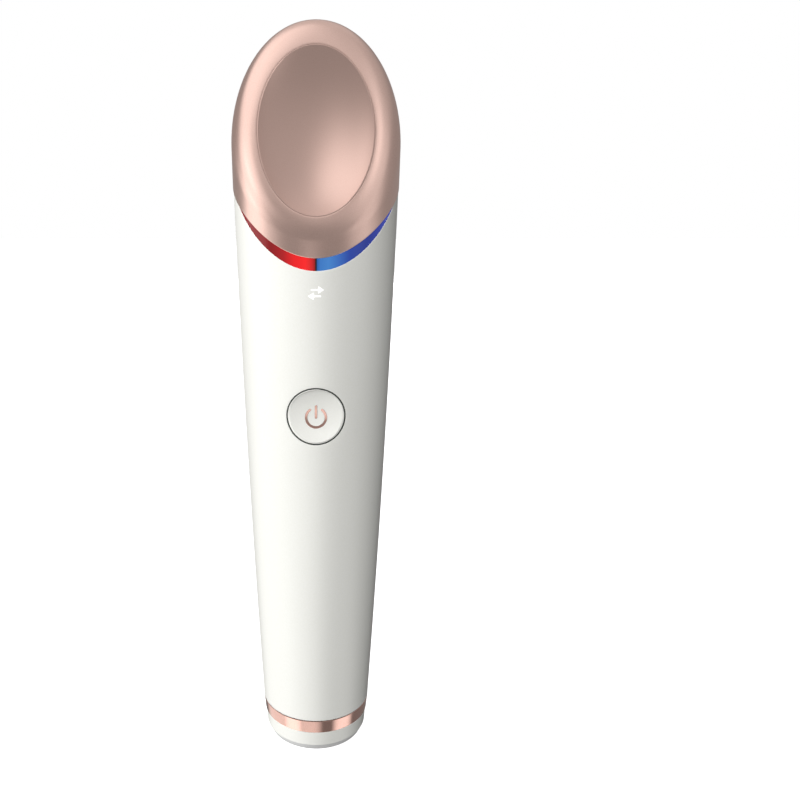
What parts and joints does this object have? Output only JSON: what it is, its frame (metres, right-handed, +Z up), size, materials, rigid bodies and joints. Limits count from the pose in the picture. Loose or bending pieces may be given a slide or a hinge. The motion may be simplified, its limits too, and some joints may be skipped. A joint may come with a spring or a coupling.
{
  "type": "heated eye massager wand",
  "caption": "Handheld wand with a warming and cooling concave oval dish in a slanted head, a crescent light, a power button, and a flat foot to stand on.",
  "frame": {"origin": "centre of the foot's flat rest face", "axes": "+Z up the handle, -Y to the front with the dish and the button, +X to the right of the front view"},
  "size_m": [0.0342, 0.0342, 0.1587],
  "materials": {
    "white_abs": "satin gloss moulded",
    "rose_aluminium": "satin anodised rose gold",
    "rose_dish": "fine satin anodised rose gold",
    "rose_chrome": "polished rose gold plating",
    "red_acrylic": "glossy tinted light guide",
    "blue_acrylic": "glossy tinted light guide",
    "black_abs": "matt moulded",
    "grey_rubber": "matt",
    "silicone": "matt translucent",
    "thermal_silicone": "matt",
    "alumina": "fired ceramic",
    "sink_aluminium": "bare extruded",
    "board_laminate": "solder mask",
    "lamp_epoxy": "clear cast",
    "frame_plastic": "matt moulded",
    "cell_wrap": "shrink wrap",
    "nickel": "rolled strip",
    "steel": "machined",
    "gold_plated_brass": "plated"
  },
  "bodies": {
    "handle": {"handle_shell": "white_abs", "head_shroud": "rose_aluminium", "thermal_dish": "rose_dish", "temperature_sensor": "alumina", "thermal_pad": "thermal_silicone", "heat_pump": "alumina", "heat_sink": "sink_aluminium", "warm_light_guide": "red_acrylic", "cool_light_guide": "blue_acrylic", "light_divider": "black_abs", "button_boot": "silicone", "switch_body": "black_abs", "main_board": "board_laminate", "board_chips": "black_abs", "warm_lamp": "lamp_epoxy", "cool_lamp": "lamp_epoxy", "inner_frame": "frame_plastic", "battery_cell": "cell_wrap", "battery_tabs": "nickel", "motor_can": "steel", "motor_sleeve": "silicone", "trim_ring": "rose_chrome", "base_cap": "white_abs", "base_foot": "grey_rubber", "charge_contacts": "gold_plated_brass", "charge_board": "board_laminate", "base_screws": "steel", "board_screws": "steel", "head_screws": "steel", "sink_screws": "steel", "base_seal": "silicone", "head_seal": "silicone"},
    "button": {"power_button": "white_abs", "power_symbol": "rose_chrome"},
    "plunger": {"switch_plunger": "black_abs"},
    "rotor": {"motor_shaft": "steel", "motor_weight": "steel"}
  },
  "joints": [
    {"name": "button_press", "type": "slide", "parent": "handle", "child": "button", "axis": [0, 1, 0], "range_m": [0, 0.0005], "stiffness_N_per_m": 2400, "springref_m": -0.0002, "deforming": ["button_boot"]},
    {"name": "plunger_press", "type": "slide", "parent": "handle", "child": "plunger", "axis": [0, 1, 0], "range_m": [0, 0.0005]},
    {"name": "motor_spin", "type": "hinge", "parent": "handle", "child": "rotor", "pos_m": [0, 0.0025, 0.097], "axis": [0, 0, 1], "continuous": true}
  ],
  "couplings": [
    {"joint": "plunger_press", "follows": "button_press", "ratio": 1}
  ]
}
